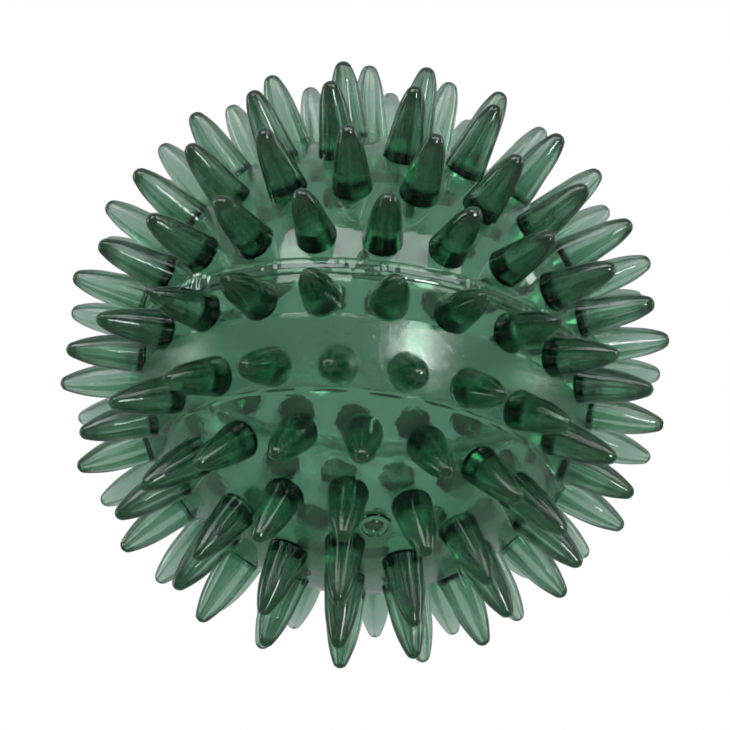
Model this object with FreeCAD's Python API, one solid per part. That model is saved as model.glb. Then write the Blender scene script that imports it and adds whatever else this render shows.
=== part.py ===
import FreeCAD, Part
import math
import os

# Hollow massage ball moulded in soft clear plastic as two halves, welded round the middle.
# +Z points to the pole of the half with pointed spikes. The weld lies in the XY plane.
# The origin is the centre of the ball. All lengths are in millimetres, all angles in degrees.

V = FreeCAD.Vector

OVERALL_DIAMETER = 90.0
BODY_RADIUS = 33.9
WALL = 2.6

SPIKE_TIP_RADIUS = OVERALL_DIAMETER / 2
SPIKE_FOOT_RADIUS = 3.0
# Each spike is a drafted shank that turns into an ogive nose with a small round tip.
# A form is (shank's share of the length, draft angle, radius of the tip).
POINTED_FORM = (0.45, 6.0, 1.15)
ROUNDED_FORM = (0.60, 7.0, 1.3)

# The spikes stand in rings, a fixed pitch apart from the weld to the pole.
RING_PITCH = 180.0 / 11
RING_COUNTS = (22, 20, 17, 12, 6)
# Turn of the first spike of each ring, from the ring nearest the weld to the one nearest the pole.
POINTED_RING_TURNS = (3.8, 7.0, 14.5, 2.0, 32.5)
ROUNDED_RING_TURNS = (6.8, 8.0, 10.0, 18.0, 46.5)

# The weld is a ring of remelted plastic between the halves. It squeezes out a low bead on the
# outside and another on the inside.
WELD_HALF_WIDTH = 0.4
OUTER_BEAD_HEIGHT = 0.35
OUTER_BEAD_HALF_WIDTH = 1.4
INNER_BEAD_HEIGHT = 0.6
INNER_BEAD_HALF_WIDTH = 1.2

# A shallow raised belt on the pointed half carries the fine surface texture.
BELT_LATITUDES = (12.4, 29.7)
BELT_HEIGHT = 0.12

# Filler disc of the pointed half, between two rings of spikes.
DISC_LATITUDE = 65.8
DISC_TURN = 255.0
DISC_RADIUS = 2.3
DISC_HEIGHT = 0.45
DISC_RIM_WIDTH = 0.4
DISC_RIM_HEIGHT = 0.2

# Half-width of a block that is sure to hold the whole ball.
BLOCK = OVERALL_DIAMETER


def direction(latitude, turn):
    """Unit vector from the centre of the ball at a latitude and a turn about Z."""
    lat = math.radians(latitude)
    lon = math.radians(turn)
    return V(math.cos(lat) * math.cos(lon), math.cos(lat) * math.sin(lon), math.sin(lat))


def seat_height(foot_radius, surface_radius):
    """Distance from the centre to a flat foot whose edge lies on the ball's surface."""
    return math.sqrt(surface_radius ** 2 - foot_radius ** 2)


def place(shape, latitude, turn):
    """Turn a shape made along +Z so that it stands along the given direction."""
    placed = shape.copy()
    rotation = FreeCAD.Rotation(V(0, 0, 1), direction(latitude, turn))
    placed.Placement = FreeCAD.Placement(V(0, 0, 0), rotation)
    return placed


def revolved(wires):
    """Solid of revolution about Z of a closed outline in the XZ plane."""
    face = Part.Face(Part.Wire(wires))
    return face.revolve(V(0, 0, 0), V(0, 0, 1), 360)


def ogive_radius(shank_radius, drop, tip_round, draft):
    """Radius of the nose arc that leaves the shank and meets the round tip without a corner."""
    span = shank_radius ** 2 + drop ** 2 - tip_round ** 2
    return span / (2 * (shank_radius * math.cos(draft) - drop * math.sin(draft) - tip_round))


def spike(foot, form):
    """One solid spike along +Z from its flat foot at the given height to its tip."""
    shank_share, draft_angle, tip_round = form
    draft = math.radians(draft_angle)
    shoulder = foot + shank_share * (SPIKE_TIP_RADIUS - foot)
    shank_radius = SPIKE_FOOT_RADIUS - (shoulder - foot) * math.tan(draft)
    tip_centre = SPIKE_TIP_RADIUS - tip_round
    radius = ogive_radius(shank_radius, tip_centre - shoulder, tip_round, draft)
    centre = V(shank_radius - radius * math.cos(draft), 0, shoulder - radius * math.sin(draft))
    meeting = math.atan2(tip_centre - centre.z, -centre.x)

    def on_nose(angle):
        return centre + V(math.cos(angle), 0, math.sin(angle)) * radius

    def on_tip(angle):
        return V(math.cos(angle), 0, math.sin(angle)) * tip_round + V(0, 0, tip_centre)

    base = V(0, 0, foot)
    tip = V(0, 0, SPIKE_TIP_RADIUS)
    edge = V(SPIKE_FOOT_RADIUS, 0, foot)
    quarter = math.pi / 2
    return revolved([
        Part.LineSegment(base, edge).toShape(),
        Part.LineSegment(edge, on_nose(draft)).toShape(),
        Part.Arc(on_nose(draft), on_nose((draft + meeting) / 2), on_nose(meeting)).toShape(),
        Part.Arc(on_nose(meeting), on_tip((meeting + quarter) / 2), tip).toShape(),
        Part.LineSegment(tip, base).toShape(),
    ])


def surface_radius_at(latitude):
    """Radius of the outer surface at a latitude, counting the raised belt."""
    if BELT_LATITUDES[0] < latitude < BELT_LATITUDES[1]:
        return BODY_RADIUS + BELT_HEIGHT
    return BODY_RADIUS


def ring_feet(side, turns):
    """Rings of one half as lists of (latitude, turn, foot height). side is 1 or -1."""
    rings = []
    for index, (count, first) in enumerate(zip(RING_COUNTS, turns)):
        latitude = side * RING_PITCH * (index + 0.5)
        foot = seat_height(SPIKE_FOOT_RADIUS, surface_radius_at(latitude))
        rings.append([(latitude, first + 360.0 * i / count, foot) for i in range(count)])
    pole_foot = seat_height(SPIKE_FOOT_RADIUS, BODY_RADIUS)
    rings.append([(side * 90.0, 0.0, pole_foot)])
    return rings


def ring_of_spikes(feet, form):
    """Separate spikes of one ring as a compound."""
    master = spike(feet[0][2], form)
    return Part.makeCompound([place(master, latitude, turn) for latitude, turn, foot in feet])


def half_space(side):
    """Block that covers everything on one side of the weld."""
    corner = V(-BLOCK, -BLOCK, WELD_HALF_WIDTH if side > 0 else -WELD_HALF_WIDTH - BLOCK)
    return Part.makeBox(2 * BLOCK, 2 * BLOCK, BLOCK, corner)


def belt():
    """Thin raised belt as a ring between two cones of latitude."""
    low, high = (math.radians(angle) for angle in BELT_LATITUDES)
    middle = (low + high) / 2
    outer = BODY_RADIUS + BELT_HEIGHT
    inner = BODY_RADIUS - WALL / 2

    def at(radius, angle):
        return V(radius * math.cos(angle), 0, radius * math.sin(angle))

    return revolved([
        Part.LineSegment(at(inner, low), at(outer, low)).toShape(),
        Part.Arc(at(outer, low), at(outer, middle), at(outer, high)).toShape(),
        Part.LineSegment(at(outer, high), at(inner, high)).toShape(),
        Part.Arc(at(inner, high), at(inner, middle), at(inner, low)).toShape(),
    ])


def foot_pockets(rings):
    """Shallow flat seats that the spike feet and the filler disc stand on."""
    cutters = []
    for feet in rings:
        foot = feet[0][2]
        seat = Part.makeCylinder(SPIKE_FOOT_RADIUS, WALL, V(0, 0, foot))
        cutters.extend(place(seat, latitude, turn) for latitude, turn, height in feet)
    return cutters


def disc_foot():
    return seat_height(DISC_RADIUS, BODY_RADIUS)


def half_shell(side, rings):
    """One dome with its seats, the belt included on the pointed half."""
    ball = Part.makeSphere(BODY_RADIUS)
    if side > 0:
        ball = ball.fuse(belt())
    dome = ball.common(half_space(side)).cut(Part.makeSphere(BODY_RADIUS - WALL))
    cutters = foot_pockets(rings)
    if side > 0:
        seat = Part.makeCylinder(DISC_RADIUS, WALL, V(0, 0, disc_foot()))
        cutters.append(place(seat, DISC_LATITUDE, DISC_TURN))
    return dome.cut(cutters)


def weld_ring():
    """Ring of remelted plastic across the wall, with a low bead on the outside and the inside."""
    inside = BODY_RADIUS - WALL

    def at(radius, height):
        return V(math.sqrt(radius ** 2 - height ** 2), 0, height)

    def along(radius, start, end):
        return Part.Arc(at(radius, start), at(radius, (start + end) / 2), at(radius, end)).toShape()

    def across(height):
        return Part.LineSegment(at(BODY_RADIUS, height), at(inside, height)).toShape()

    def bead(radius, height, half_width):
        crest = V(radius + height, 0, 0)
        return Part.Arc(at(radius, half_width), crest, at(radius, -half_width)).toShape()

    return revolved([
        bead(BODY_RADIUS, OUTER_BEAD_HEIGHT, OUTER_BEAD_HALF_WIDTH),
        along(BODY_RADIUS, -OUTER_BEAD_HALF_WIDTH, -WELD_HALF_WIDTH),
        across(-WELD_HALF_WIDTH),
        along(inside, -WELD_HALF_WIDTH, -INNER_BEAD_HALF_WIDTH),
        bead(inside, -INNER_BEAD_HEIGHT, INNER_BEAD_HALF_WIDTH),
        along(inside, INNER_BEAD_HALF_WIDTH, WELD_HALF_WIDTH),
        across(WELD_HALF_WIDTH),
        along(BODY_RADIUS, WELD_HALF_WIDTH, OUTER_BEAD_HALF_WIDTH),
    ])


def filler_disc():
    """Plain round disc with a low rim, standing on its seat."""
    foot = disc_foot()
    top = foot + DISC_HEIGHT
    disc = Part.makeCylinder(DISC_RADIUS, top - foot, V(0, 0, foot))
    dish = Part.makeCylinder(DISC_RADIUS - DISC_RIM_WIDTH, DISC_RIM_HEIGHT, V(0, 0, top - DISC_RIM_HEIGHT))
    return place(disc.cut(dish), DISC_LATITUDE, DISC_TURN)


def save(name, shape):
    shape.exportStep(os.path.join("parts", name + ".step"))


def build_half(name, side, turns, form):
    rings = ring_feet(side, turns)
    save(name + "_half_shell", half_shell(side, rings))
    for number, feet in enumerate(rings[:-1], start=1):
        save(f"{name}_spikes_ring_{number}", ring_of_spikes(feet, form))
    save(name + "_pole_spike", ring_of_spikes(rings[-1], form))


def main():
    os.makedirs("parts", exist_ok=True)
    build_half("pointed", 1, POINTED_RING_TURNS, POINTED_FORM)
    build_half("rounded", -1, ROUNDED_RING_TURNS, ROUNDED_FORM)
    save("weld_ring", weld_ring())
    save("filler_disc", filler_disc())


main()
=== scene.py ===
import math
import random

import bmesh
import bpy
from mathutils import Matrix, Vector


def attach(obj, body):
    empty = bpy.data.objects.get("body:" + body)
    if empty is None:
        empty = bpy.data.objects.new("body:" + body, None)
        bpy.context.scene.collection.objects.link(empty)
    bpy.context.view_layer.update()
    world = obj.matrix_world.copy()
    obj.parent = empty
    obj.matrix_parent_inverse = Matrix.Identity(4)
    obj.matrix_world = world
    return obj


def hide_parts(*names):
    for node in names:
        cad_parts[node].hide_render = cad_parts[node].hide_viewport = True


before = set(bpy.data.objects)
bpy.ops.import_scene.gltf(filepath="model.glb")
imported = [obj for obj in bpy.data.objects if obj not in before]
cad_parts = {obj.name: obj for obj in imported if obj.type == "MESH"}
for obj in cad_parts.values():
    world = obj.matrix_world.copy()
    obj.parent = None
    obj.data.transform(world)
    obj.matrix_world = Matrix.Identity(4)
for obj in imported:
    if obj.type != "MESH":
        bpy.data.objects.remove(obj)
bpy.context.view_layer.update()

MM = 0.001

# The same driving dimensions as the CAD model.
TIP_R = 45.0 * MM
BODY_R = 33.9 * MM
WALL = 2.6 * MM
FOOT_R = 3.0 * MM
RING_PITCH = 180.0 / 11
RING_COUNTS = (22, 20, 17, 12, 6)
POINTED_TURNS = (3.8, 7.0, 14.5, 2.0, 32.5)
ROUNDED_TURNS = (6.8, 8.0, 10.0, 18.0, 46.5)
# Shank's share of the length, draft angle, radius of the tip.
POINTED_FORM = (0.45, math.radians(6.0), 1.15 * MM)
ROUNDED_FORM = (0.60, math.radians(7.0), 1.3 * MM)
BELT_LAT = (12.4, 29.7)
BELT_HEIGHT = 0.12 * MM
WELD_HALF = 0.4 * MM
WELD_GAP = 0.03 * MM
OUTER_BEAD_HALF = 1.3 * MM
INNER_BEAD_HALF = 1.1 * MM
BEAD_GAP = 0.04 * MM
DISC_LAT, DISC_TURN, DISC_R = 65.8, 255.0, 2.3 * MM
DISC_HEIGHT = 0.45 * MM
DISC_DISH = 0.2 * MM

# How far the spikes and the disc reach into the wall, so that they join it, as shares of the wall.
SPIKE_ROOT = 0.45
DISC_ROOT = 0.4
# Width of the slope at each edge of the belt.
BELT_EASE = math.radians(0.35)
# Slope of the round tip at which the nib of a pointed spike begins.
NIB_EDGE = math.radians(62)

# How finely the round shapes are cut.
BODY_STEPS = 192
DOME_STEPS = 64
BELT_STEPS = 14
SPIKE_STEPS = 28
SHANK_STEPS = 4
NOSE_STEPS = 12
TIP_STEPS = 5
DISC_STEPS = 48
WELD_STEPS = 720
ARCH_STEPS = 8
BUBBLES = 520

# Edges sharper than this stay sharp.
SHARP = math.radians(35)
# A point this near to the axis is on it.
ON_AXIS = 1e-9


# ---------------------------------------------------------------- meshes

def smooth(mesh):
    mesh.shade_smooth()
    mesh.set_sharp_from_angle(angle=SHARP)


def new_object(name, bm):
    """Smooth-shaded object from a bmesh."""
    mesh = bpy.data.meshes.new(name)
    bm.to_mesh(mesh)
    bm.free()
    obj = bpy.data.objects.new(name, mesh)
    bpy.context.scene.collection.objects.link(obj)
    smooth(mesh)
    return obj


def lathe(bm, outline, steps):
    """Revolve an outline of (radius, height) about Z. Points on the axis become one vertex."""
    rings = []
    for r, z in outline:
        if r < ON_AXIS:
            rings.append([bm.verts.new((0, 0, z))])
            continue
        rings.append([
            bm.verts.new((r * math.cos(a), r * math.sin(a), z))
            for a in (2 * math.pi * i / steps for i in range(steps))
        ])
    for low, high in zip(rings, rings[1:]):
        for i in range(steps):
            j = (i + 1) % steps
            if len(low) == 1 and len(high) == 1:
                continue
            if len(low) == 1:
                bm.faces.new((low[0], high[j], high[i]))
            elif len(high) == 1:
                bm.faces.new((low[i], low[j], high[0]))
            else:
                bm.faces.new((low[i], low[j], high[j], high[i]))


def direction(latitude, turn):
    lat, lon = math.radians(latitude), math.radians(turn)
    return Vector((math.cos(lat) * math.cos(lon), math.cos(lat) * math.sin(lon), math.sin(lat)))


def standing(latitude, turn):
    """Matrix that stands a shape made along +Z on the ball."""
    return direction(latitude, turn).to_track_quat("Z", "Y").to_matrix().to_4x4()


def nose_outline(form, nib):
    """Outline of a spike from its sunk foot to its tip, with a small moulded nib on request."""
    share, draft, tip_round = form
    foot = math.sqrt(BODY_R ** 2 - FOOT_R ** 2)
    shoulder = foot + share * (TIP_R - foot)
    shank = FOOT_R - (shoulder - foot) * math.tan(draft)
    tip_z = TIP_R - tip_round
    drop = tip_z - shoulder
    span = shank ** 2 + drop ** 2 - tip_round ** 2
    radius = span / (2 * (shank * math.cos(draft) - drop * math.sin(draft) - tip_round))
    cr, cz = shank - radius * math.cos(draft), shoulder - radius * math.sin(draft)
    meet = math.atan2(tip_z - cz, -cr)
    sunk = foot - WALL * SPIKE_ROOT
    outline = [(0, sunk), (FOOT_R, sunk), (FOOT_R, foot)]
    for k in range(1, SHANK_STEPS):
        share_up = k / SHANK_STEPS
        outline.append((FOOT_R + (shank - FOOT_R) * share_up, foot + (shoulder - foot) * share_up))
    for k in range(NOSE_STEPS + 1):
        a = draft + (meet - draft) * k / NOSE_STEPS
        outline.append((cr + radius * math.cos(a), cz + radius * math.sin(a)))
    stop = NIB_EDGE if nib else math.pi / 2
    for k in range(1, TIP_STEPS + 1):
        a = meet + (stop - meet) * k / TIP_STEPS
        outline.append((tip_round * math.cos(a), tip_z + tip_round * math.sin(a)))
    if nib:
        # A fine groove goes round the nib.
        r, z = outline[-1]
        outline.append((r * 0.92, z - 0.05 * MM))
        outline.append((r * 0.72, z - 0.03 * MM))
        outline.append((r * 0.62, TIP_R - 0.02 * MM))
        outline.append((0, TIP_R))
    else:
        outline[-1] = (0, TIP_R)
    return outline


def spike_places(side, turns):
    """(latitude, turn) of every spike of one half."""
    places = [(side * 90.0, 0.0)]
    for index, (count, first) in enumerate(zip(RING_COUNTS, turns)):
        latitude = side * RING_PITCH * (index + 0.5)
        places += [(latitude, first + 360.0 * i / count) for i in range(count)]
    return places


def dome_curve(radius):
    """Latitudes from the weld to the pole on a sphere of the given radius."""
    start = math.asin((WELD_HALF + WELD_GAP) / radius)
    return [start + (math.pi / 2 - start) * k / DOME_STEPS for k in range(DOME_STEPS + 1)]


def dome_outline(side):
    """Outer and inner outline of one half shell, the raised belt included on the pointed half."""
    outer = [(lat, BODY_R) for lat in dome_curve(BODY_R)]
    if side > 0:
        low, high = (math.radians(v) for v in BELT_LAT)
        outer = [p for p in outer if not (low - BELT_EASE <= p[0] <= high + BELT_EASE)]
        top = BODY_R + BELT_HEIGHT
        belt = [(low - BELT_EASE, BODY_R)]
        belt += [(low + (high - low) * k / BELT_STEPS, top) for k in range(BELT_STEPS + 1)]
        belt += [(high + BELT_EASE, BODY_R)]
        outer = sorted(outer + belt)
    outline = [(r * math.cos(lat), side * r * math.sin(lat)) for lat, r in outer]
    outline[-1] = (0, side * BODY_R)
    inner_r = BODY_R - WALL
    inner = [(inner_r * math.cos(lat), side * inner_r * math.sin(lat)) for lat in dome_curve(inner_r)]
    inner[-1] = (0, side * inner_r)
    return outline, inner


def dome(name, side):
    outer, inner = dome_outline(side)
    bm = bmesh.new()
    lathe(bm, list(reversed(inner)) + outer, BODY_STEPS)
    bmesh.ops.recalc_face_normals(bm, faces=bm.faces)
    return new_object(name, bm)


def stand_up(bm, outline, steps, latitude, turn):
    """Revolve an outline and stand it on the ball."""
    before = len(bm.verts)
    lathe(bm, outline, steps)
    bm.verts.ensure_lookup_table()
    bmesh.ops.transform(bm, matrix=standing(latitude, turn), verts=bm.verts[before:])


def disc_outline():
    """Plain filler disc with a low rim and one ring round its middle."""
    foot = math.sqrt(BODY_R ** 2 - DISC_R ** 2)
    root = foot - WALL * DISC_ROOT
    top = foot + DISC_HEIGHT
    low = top - DISC_DISH
    ring_top = low + 0.12 * MM
    return [
        (0, root), (DISC_R, root), (DISC_R, top - 0.08 * MM),
        (DISC_R - 0.08 * MM, top), (DISC_R - 0.35 * MM, top), (DISC_R - 0.45 * MM, low),
        (1.15 * MM, low), (1.05 * MM, ring_top), (0.85 * MM, ring_top),
        (0.75 * MM, low), (0, low),
    ]


def fuse(body, other):
    """Join another object into the body as one closed skin."""
    union = body.modifiers.new("union", "BOOLEAN")
    union.operation = "UNION"
    union.solver = "MANIFOLD"
    union.object = other
    bpy.context.view_layer.update()
    depsgraph = bpy.context.evaluated_depsgraph_get()
    mesh = bpy.data.meshes.new_from_object(body.evaluated_get(depsgraph))
    body.modifiers.clear()
    body.data = mesh
    mesh.name = body.name
    bpy.data.objects.remove(other)
    smooth(mesh)


def moulding(name, side, turns, form, nib):
    """One half as it is moulded: shell and spikes in one closed skin."""
    body = dome(name, side)
    outline = nose_outline(form, nib)
    bm = bmesh.new()
    for latitude, turn in spike_places(side, turns):
        stand_up(bm, outline, SPIKE_STEPS, latitude, turn)
    if side > 0:
        stand_up(bm, disc_outline(), DISC_STEPS, DISC_LAT, DISC_TURN)
    bmesh.ops.recalc_face_normals(bm, faces=bm.faces)
    fuse(body, new_object(name + "_spikes", bm))
    return body


def arch(half, height, start, shift=0.0):
    """Points of a low arch across the weld, as (radius, height along the axis)."""
    angles = [math.pi * k / ARCH_STEPS for k in range(ARCH_STEPS + 1)]
    return [(start + height * math.sin(t), -half * math.cos(t) + shift) for t in angles]


def add_bubble(bm, rng, inside, outside):
    """Small air bubble somewhere in the weld. Its faces point into it."""
    a = rng.uniform(0, 2 * math.pi)
    size = rng.uniform(0.05, 0.17) * MM
    r = rng.uniform(inside + 0.3 * MM, outside - 0.2 * MM)
    z = rng.uniform(-0.16, 0.16) * MM
    before = len(bm.faces)
    made = bmesh.ops.create_icosphere(bm, subdivisions=2, radius=size)
    bmesh.ops.translate(bm, verts=made["verts"], vec=(r * math.cos(a), r * math.sin(a), z))
    bm.faces.ensure_lookup_table()
    bmesh.ops.reverse_faces(bm, faces=bm.faces[before:])


def weld_ring(name):
    """Ring of remelted plastic with an uneven bead on each side and air bubbles in it."""
    rng = random.Random(7)
    bm = bmesh.new()
    outside = BODY_R + BEAD_GAP
    inside = BODY_R - WALL - BEAD_GAP
    # Waves round the ring as (number of waves, phase, weight). The first few also shift the beads.
    waves = [(rng.randint(9, 140), rng.uniform(0, 6.28), rng.uniform(0.2, 1.0)) for _ in range(26)]
    shifting = waves[:9]
    rings = []
    for i in range(WELD_STEPS):
        a = 2 * math.pi * i / WELD_STEPS
        wobble = sum(w * math.sin(n * a + p) for n, p, w in waves) / 6
        wander = sum(w * math.sin(n * a - 2 * p) for n, p, w in shifting) / 6
        half = OUTER_BEAD_HALF + 0.10 * MM * wobble
        outer = arch(half, (0.26 + 0.09 * wobble) * MM, outside, 0.12 * MM * wander)
        inner = arch(INNER_BEAD_HALF, -(0.42 + 0.16 * wander) * MM, inside)
        profile = [(outside, -WELD_HALF)] + outer + [(outside, WELD_HALF)]
        profile += [(inside, WELD_HALF)] + list(reversed(inner)) + [(inside, -WELD_HALF)]
        rings.append([bm.verts.new((r * math.cos(a), r * math.sin(a), z)) for r, z in profile])
    for i, one in enumerate(rings):
        two = rings[(i + 1) % WELD_STEPS]
        for k in range(len(one)):
            m = (k + 1) % len(one)
            bm.faces.new((one[k], two[k], two[m], one[m]))
    bmesh.ops.recalc_face_normals(bm, faces=bm.faces)
    for _ in range(BUBBLES):
        add_bubble(bm, rng, inside, outside)
    return new_object(name, bm)


# ------------------------------------------------------------- materials

class Nodes:
    """Short ways to add and join shader nodes."""

    def __init__(self, material):
        material.use_nodes = True
        self.tree = material.node_tree
        self.tree.nodes.clear()

    def add(self, kind, **settings):
        node = self.tree.nodes.new(kind)
        for key, value in settings.items():
            setattr(node, key, value)
        return node

    def join(self, source, target):
        self.tree.links.new(source, target)

    def put(self, value, socket):
        if isinstance(value, (int, float)):
            socket.default_value = value
        else:
            self.join(value, socket)

    def math(self, operation, a, b=0.0):
        node = self.add("ShaderNodeMath", operation=operation)
        self.put(a, node.inputs[0])
        self.put(b, node.inputs[1])
        return node.outputs[0]

    def vector(self, operation, a, output=0):
        node = self.add("ShaderNodeVectorMath", operation=operation)
        self.join(a, node.inputs[0])
        return node.outputs[output]

    def ramp(self, value, low, high):
        """0 below low, 1 above high, smooth between."""
        node = self.add("ShaderNodeMapRange", interpolation_type="SMOOTHSTEP", clamp=True)
        self.put(value, node.inputs["Value"])
        node.inputs["From Min"].default_value = low
        node.inputs["From Max"].default_value = high
        return node.outputs["Result"]

    def noise(self, vector, scale, detail=3.0, rough=0.5):
        node = self.add("ShaderNodeTexNoise")
        self.join(vector, node.inputs["Vector"])
        node.inputs["Scale"].default_value = scale
        node.inputs["Detail"].default_value = detail
        node.inputs["Roughness"].default_value = rough
        return node.outputs[0]


IOR = 1.53
TINT = (0.14, 0.54, 0.34, 1)
TINT_DENSITY = 250.0
# Painted shade: the shell's surfaces are tinted darker than the spikes, though both are the same
# plastic.
SHELL_PAINTED_SHADE = (0.62, 0.80, 0.71, 1)
SPIKE_TONE = (0.95, 0.99, 0.97, 1)
GLOSS_ROUGHNESS = 0.02
# Relief by its scale, in cycles per metre, and its weight in the bump.
TURNING_MARKS = (1050.0, 0.6)
SHELL_WAVES = (75.0, 6.0)
SHELL_RIPPLES = (330.0, 1.6)
BELT_PEBBLES = (2400.0, 5.0)
# Flow marks by direction from the centre, so that they run along the spikes.
FLOW_MARKS = (60.0, 1.1)
# Softness of the belt's edges, as a share of the radius.
BELT_FADE = 0.004


def clear_pvc(name, belt):
    """Clear soft PVC tinted bottle green. The belt is finely textured, the rest is glossy."""
    material = bpy.data.materials.new(name)
    n = Nodes(material)
    place = n.add("ShaderNodeTexCoord").outputs["Object"]
    radius = n.vector("LENGTH", place, output=1)
    way = n.vector("NORMALIZE", place)
    split = n.add("ShaderNodeSeparateXYZ")
    n.join(way, split.inputs[0])
    height = split.outputs[2]

    on_spike = n.ramp(radius, BODY_R + 0.4 * MM, BODY_R + 1.0 * MM)
    on_shell = n.math("SUBTRACT", 1.0, on_spike)

    # Turning marks of the mould go round each spike, faint flow marks run along it.
    rings = n.add("ShaderNodeTexWave", wave_type="RINGS", rings_direction="SPHERICAL")
    n.join(place, rings.inputs["Vector"])
    rings.inputs["Scale"].default_value = TURNING_MARKS[0]
    rings.inputs["Distortion"].default_value = 1.5
    rings.inputs["Detail"].default_value = 2.0
    rings.inputs["Detail Scale"].default_value = 0.6
    marks = n.math("MULTIPLY", rings.outputs["Fac"], TURNING_MARKS[1])
    streaks = n.math("MULTIPLY", n.noise(way, FLOW_MARKS[0], 3.0, 0.6), FLOW_MARKS[1])
    grain = n.math("ADD", marks, streaks)
    spike_relief = n.math("MULTIPLY", grain, on_spike)

    # The shell is wavy all over.
    waves = n.math("MULTIPLY", n.noise(place, SHELL_WAVES[0], 2.0, 0.5), SHELL_WAVES[1])
    ripples = n.math("MULTIPLY", n.noise(place, SHELL_RIPPLES[0], 3.0, 0.6), SHELL_RIPPLES[1])
    shell_relief = n.math("MULTIPLY", n.math("ADD", waves, ripples), on_shell)
    relief = n.math("ADD", spike_relief, shell_relief)
    roughness = n.math("ADD", GLOSS_ROUGHNESS, n.math("MULTIPLY", n.noise(place, 900.0), 0.06))
    if belt:
        # The belt is frosted on its outer face only.
        low, high = (math.sin(math.radians(v)) for v in BELT_LAT)
        rise = n.ramp(height, low - BELT_FADE, low + BELT_FADE)
        fall = n.ramp(height, high - BELT_FADE, high + BELT_FADE)
        frosted = n.math("MULTIPLY", n.math("SUBTRACT", rise, fall), on_shell)
        outside = n.ramp(radius, BODY_R - 0.5 * WALL, BODY_R - 0.4 * WALL)
        frosted = n.math("MULTIPLY", frosted, outside)
        pebbles = n.math("MULTIPLY", n.noise(place, BELT_PEBBLES[0], 2.0, 0.6), frosted)
        relief = n.math("ADD", relief, n.math("MULTIPLY", pebbles, BELT_PEBBLES[1]))
        roughness = n.math("ADD", roughness, n.math("MULTIPLY", frosted, 0.09))

    bump = n.add("ShaderNodeBump")
    bump.inputs["Strength"].default_value = 0.35
    bump.inputs["Distance"].default_value = 0.05 * MM
    n.join(relief, bump.inputs["Height"])

    shader = n.add("ShaderNodeBsdfPrincipled")
    # The shell's surfaces get a darker base colour than the spikes: painted shade, so that the walls
    # look darker than the spikes.
    painted_shade_tones = n.add("ShaderNodeMix", data_type="RGBA")
    n.join(on_spike, painted_shade_tones.inputs[0])
    painted_shade_tones.inputs[6].default_value = SHELL_PAINTED_SHADE
    painted_shade_tones.inputs[7].default_value = SPIKE_TONE
    n.join(painted_shade_tones.outputs[2], shader.inputs["Base Color"])
    shader.inputs["IOR"].default_value = IOR
    shader.inputs["Transmission Weight"].default_value = 1.0
    n.join(roughness, shader.inputs["Roughness"])
    n.join(bump.outputs["Normal"], shader.inputs["Normal"])
    tint = n.add("ShaderNodeVolumeAbsorption")
    tint.inputs["Color"].default_value = TINT
    tint.inputs["Density"].default_value = TINT_DENSITY
    out = n.add("ShaderNodeOutputMaterial")
    n.join(shader.outputs["BSDF"], out.inputs["Surface"])
    n.join(tint.outputs["Volume"], out.inputs["Volume"])
    return material


# ---------------------------------------------------------------- pieces

def cad_nodes(prefix):
    return [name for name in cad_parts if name.startswith(prefix)]


def finish_piece(piece, material, nodes):
    piece.data.materials.clear()
    piece.data.materials.append(material)
    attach(piece, "root")
    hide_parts(*nodes)


pointed_pvc = clear_pvc("pvc_pointed_half", belt=True)
plain_pvc = clear_pvc("pvc_plain", belt=False)

pointed = moulding("pointed_half", 1, POINTED_TURNS, POINTED_FORM, nib=True)
finish_piece(pointed, pointed_pvc, cad_nodes("pointed_") + ["filler_disc"])
rounded = moulding("rounded_half", -1, ROUNDED_TURNS, ROUNDED_FORM, nib=False)
finish_piece(rounded, plain_pvc, cad_nodes("rounded_"))
ring = weld_ring("weld_ring_bead")
finish_piece(ring, plain_pvc, ["weld_ring"])


# ------------------------------------------------- floor, light and camera

FLOOR_HALF = 6.0
FLOOR_GAP = 0.5 * MM
TABLE_GLOW = 0.54
ROOM_GLOW = 0.39
# Heights of the horizon's soft edge, in degrees.
HORIZON = (-20, 4)
SOFTBOX_DISTANCE = 0.8
# Softboxes as (name, degrees across, degrees up, (width, height), glow), seen from the camera.
SOFTBOXES = (
    ("key", 26, 8, (0.13, 0.20), 40.0),
    ("top_left", -35, 55, (0.50, 0.40), 4.5),
    ("top_right", 40, 50, (0.50, 0.40), 3.5),
    ("rim_left", -100, 10, (0.10, 0.6), 6.0),
    ("rim_right", 100, 10, (0.10, 0.6), 6.0),
)
CAMERA_DISTANCE = 25 * BODY_R
CAMERA_ELEVATION = 24.12
CAMERA_ROLL = 5.5
CAMERA_LENS = 283.3
BOUNCES = 24


def glowing(name, colour, strength):
    material = bpy.data.materials.new(name)
    n = Nodes(material)
    glow = n.add("ShaderNodeEmission")
    glow.inputs["Color"].default_value = (*colour, 1)
    glow.inputs["Strength"].default_value = strength
    out = n.add("ShaderNodeOutputMaterial")
    n.join(glow.outputs[0], out.inputs["Surface"])
    return material


def add_floor():
    bm = bmesh.new()
    bmesh.ops.create_grid(bm, x_segments=8, y_segments=8, size=FLOOR_HALF)
    floor = new_object("floor", bm)
    floor.location.z = -TIP_R - FLOOR_GAP
    floor.data.materials.append(glowing("floor_white", (1, 1, 1), 1.0))
    # The floor shows only behind the object: what lights the clear plastic is the studio round it.
    floor.visible_diffuse = False
    floor.visible_glossy = False
    floor.visible_transmission = False
    floor.visible_shadow = False


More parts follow.
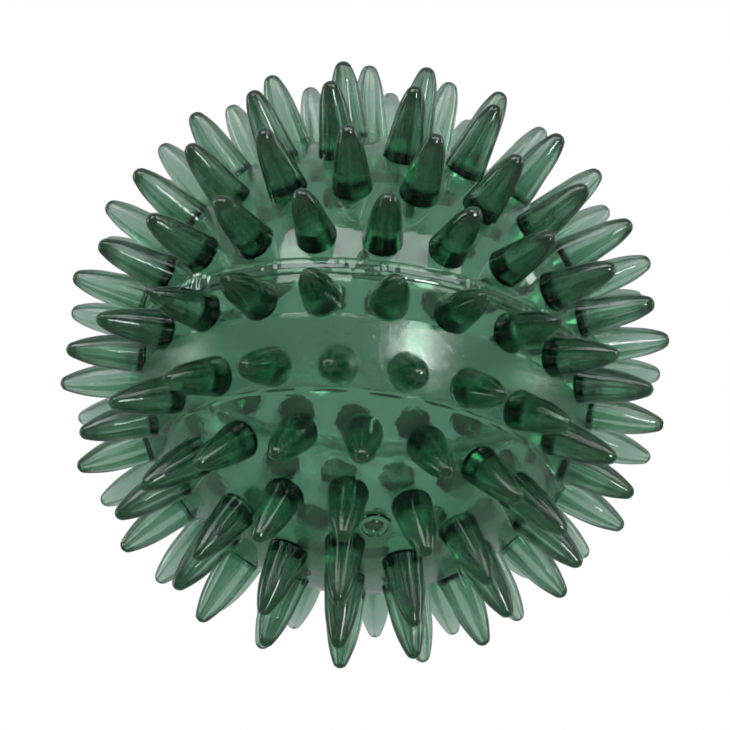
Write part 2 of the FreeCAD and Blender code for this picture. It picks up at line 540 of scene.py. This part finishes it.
def add_world(below, above):
    """White to the camera. As light, a bright table below and a dimmer room above."""
    world = bpy.data.worlds.new("studio")
    bpy.context.scene.world = world
    n = Nodes(world)
    path = n.add("ShaderNodeLightPath")
    split = n.add("ShaderNodeSeparateXYZ")
    n.join(n.add("ShaderNodeTexCoord").outputs["Generated"], split.inputs[0])
    low, high = (math.sin(math.radians(angle)) for angle in HORIZON)
    rise = n.ramp(split.outputs[2], low, high)
    level = n.math("ADD", n.math("MULTIPLY", rise, above - below), below)
    seen = n.add("ShaderNodeBackground")
    seen.inputs["Color"].default_value = (1, 1, 1, 1)
    light = n.add("ShaderNodeBackground")
    light.inputs["Color"].default_value = (1, 1, 1, 1)
    n.join(level, light.inputs["Strength"])
    mix = n.add("ShaderNodeMixShader")
    out = n.add("ShaderNodeOutputWorld")
    n.join(path.outputs["Is Camera Ray"], mix.inputs[0])
    n.join(light.outputs[0], mix.inputs[1])
    n.join(seen.outputs[0], mix.inputs[2])
    n.join(mix.outputs[0], out.inputs["Surface"])


def add_softbox(axes, name, across, up, size, glow):
    """Softbox aimed at the ball, at angles across and up from the line to the camera."""
    x, y, back = axes
    a, b = math.radians(across), math.radians(up)
    level = back * math.cos(a) + x * math.sin(a)
    place = (level * math.cos(b) + y * math.sin(b)) * SOFTBOX_DISTANCE
    light = bpy.data.lights.new(name, "AREA")
    light.shape = "RECTANGLE"
    light.size, light.size_y = size
    light.energy = glow * math.pi * size[0] * size[1]
    obj = bpy.data.objects.new(name, light)
    obj.location = place
    obj.rotation_euler = (-place).to_track_quat("-Z", "Y").to_euler()
    bpy.context.scene.collection.objects.link(obj)
    obj.visible_camera = False


def add_camera(distance, elevation, roll, lens):
    """Camera at azimuth 0 whose picture has the rounded pole up, leaning right by roll."""
    el, turn = math.radians(elevation), math.radians(roll)
    back = Vector((0, -math.cos(el), math.sin(el)))
    down = Vector((0, 0, -1))
    up = (down - back * down.dot(back)).normalized()
    right = up.cross(back)
    x = right * math.cos(turn) + up * math.sin(turn)
    y = up * math.cos(turn) - right * math.sin(turn)
    data = bpy.data.cameras.new("camera")
    data.lens = lens
    data.clip_start, data.clip_end = 0.01, 100
    camera = bpy.data.objects.new("camera", data)
    turned = Matrix((x, y, back)).transposed().to_4x4()
    camera.matrix_world = Matrix.Translation(back * distance) @ turned
    bpy.context.scene.collection.objects.link(camera)
    bpy.context.scene.camera = camera
    return x, y, back


add_floor()
add_world(TABLE_GLOW, ROOM_GLOW)
camera_axes = add_camera(CAMERA_DISTANCE, CAMERA_ELEVATION, CAMERA_ROLL, CAMERA_LENS)
for softbox in SOFTBOXES:
    add_softbox(camera_axes, *softbox)

scene = bpy.context.scene
scene.view_settings.view_transform = "Standard"
scene.cycles.max_bounces = BOUNCES
scene.cycles.transmission_bounces = BOUNCES
scene.cycles.transparent_max_bounces = 16
scene.cycles.volume_bounces = 0
scene.cycles.caustics_reflective = True
scene.cycles.caustics_refractive = True
